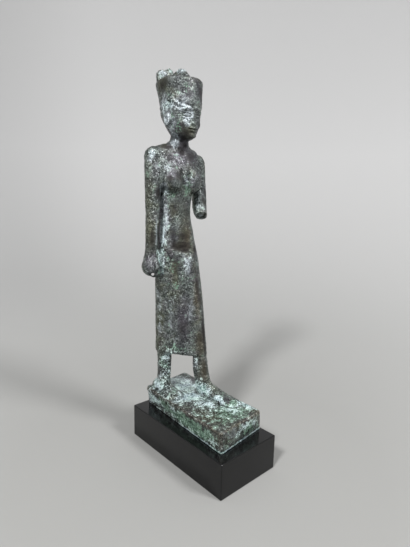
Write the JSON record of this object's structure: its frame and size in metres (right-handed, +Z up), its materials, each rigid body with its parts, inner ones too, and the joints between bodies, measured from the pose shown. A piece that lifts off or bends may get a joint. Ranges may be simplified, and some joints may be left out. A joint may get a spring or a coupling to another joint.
{
  "type": "standing bronze statuette on a block",
  "caption": "Slender striding goddess figure in a long tight dress and flat-topped crown, cast with an oblong base and set on a polished black block; it stands on a shelf as an ornament.",
  "frame": {"origin": "middle of the black block's underside, which the whole piece stands on", "axes": "+Z up; the figure faces -Y, so +Y is its back, +X its own left and -X its own right"},
  "size_m": [0.0337, 0.0622, 0.1736],
  "materials": {
    "bronze": "dark grey-brown cast bronze with pitted, speckled patina and pale green verdigris",
    "plinth": "polished black block with crisp, slightly eased edges"
  },
  "bodies": {
    "root": {"bronze_figure": "bronze", "plinth": "plinth"}
  },
  "joints": []
}
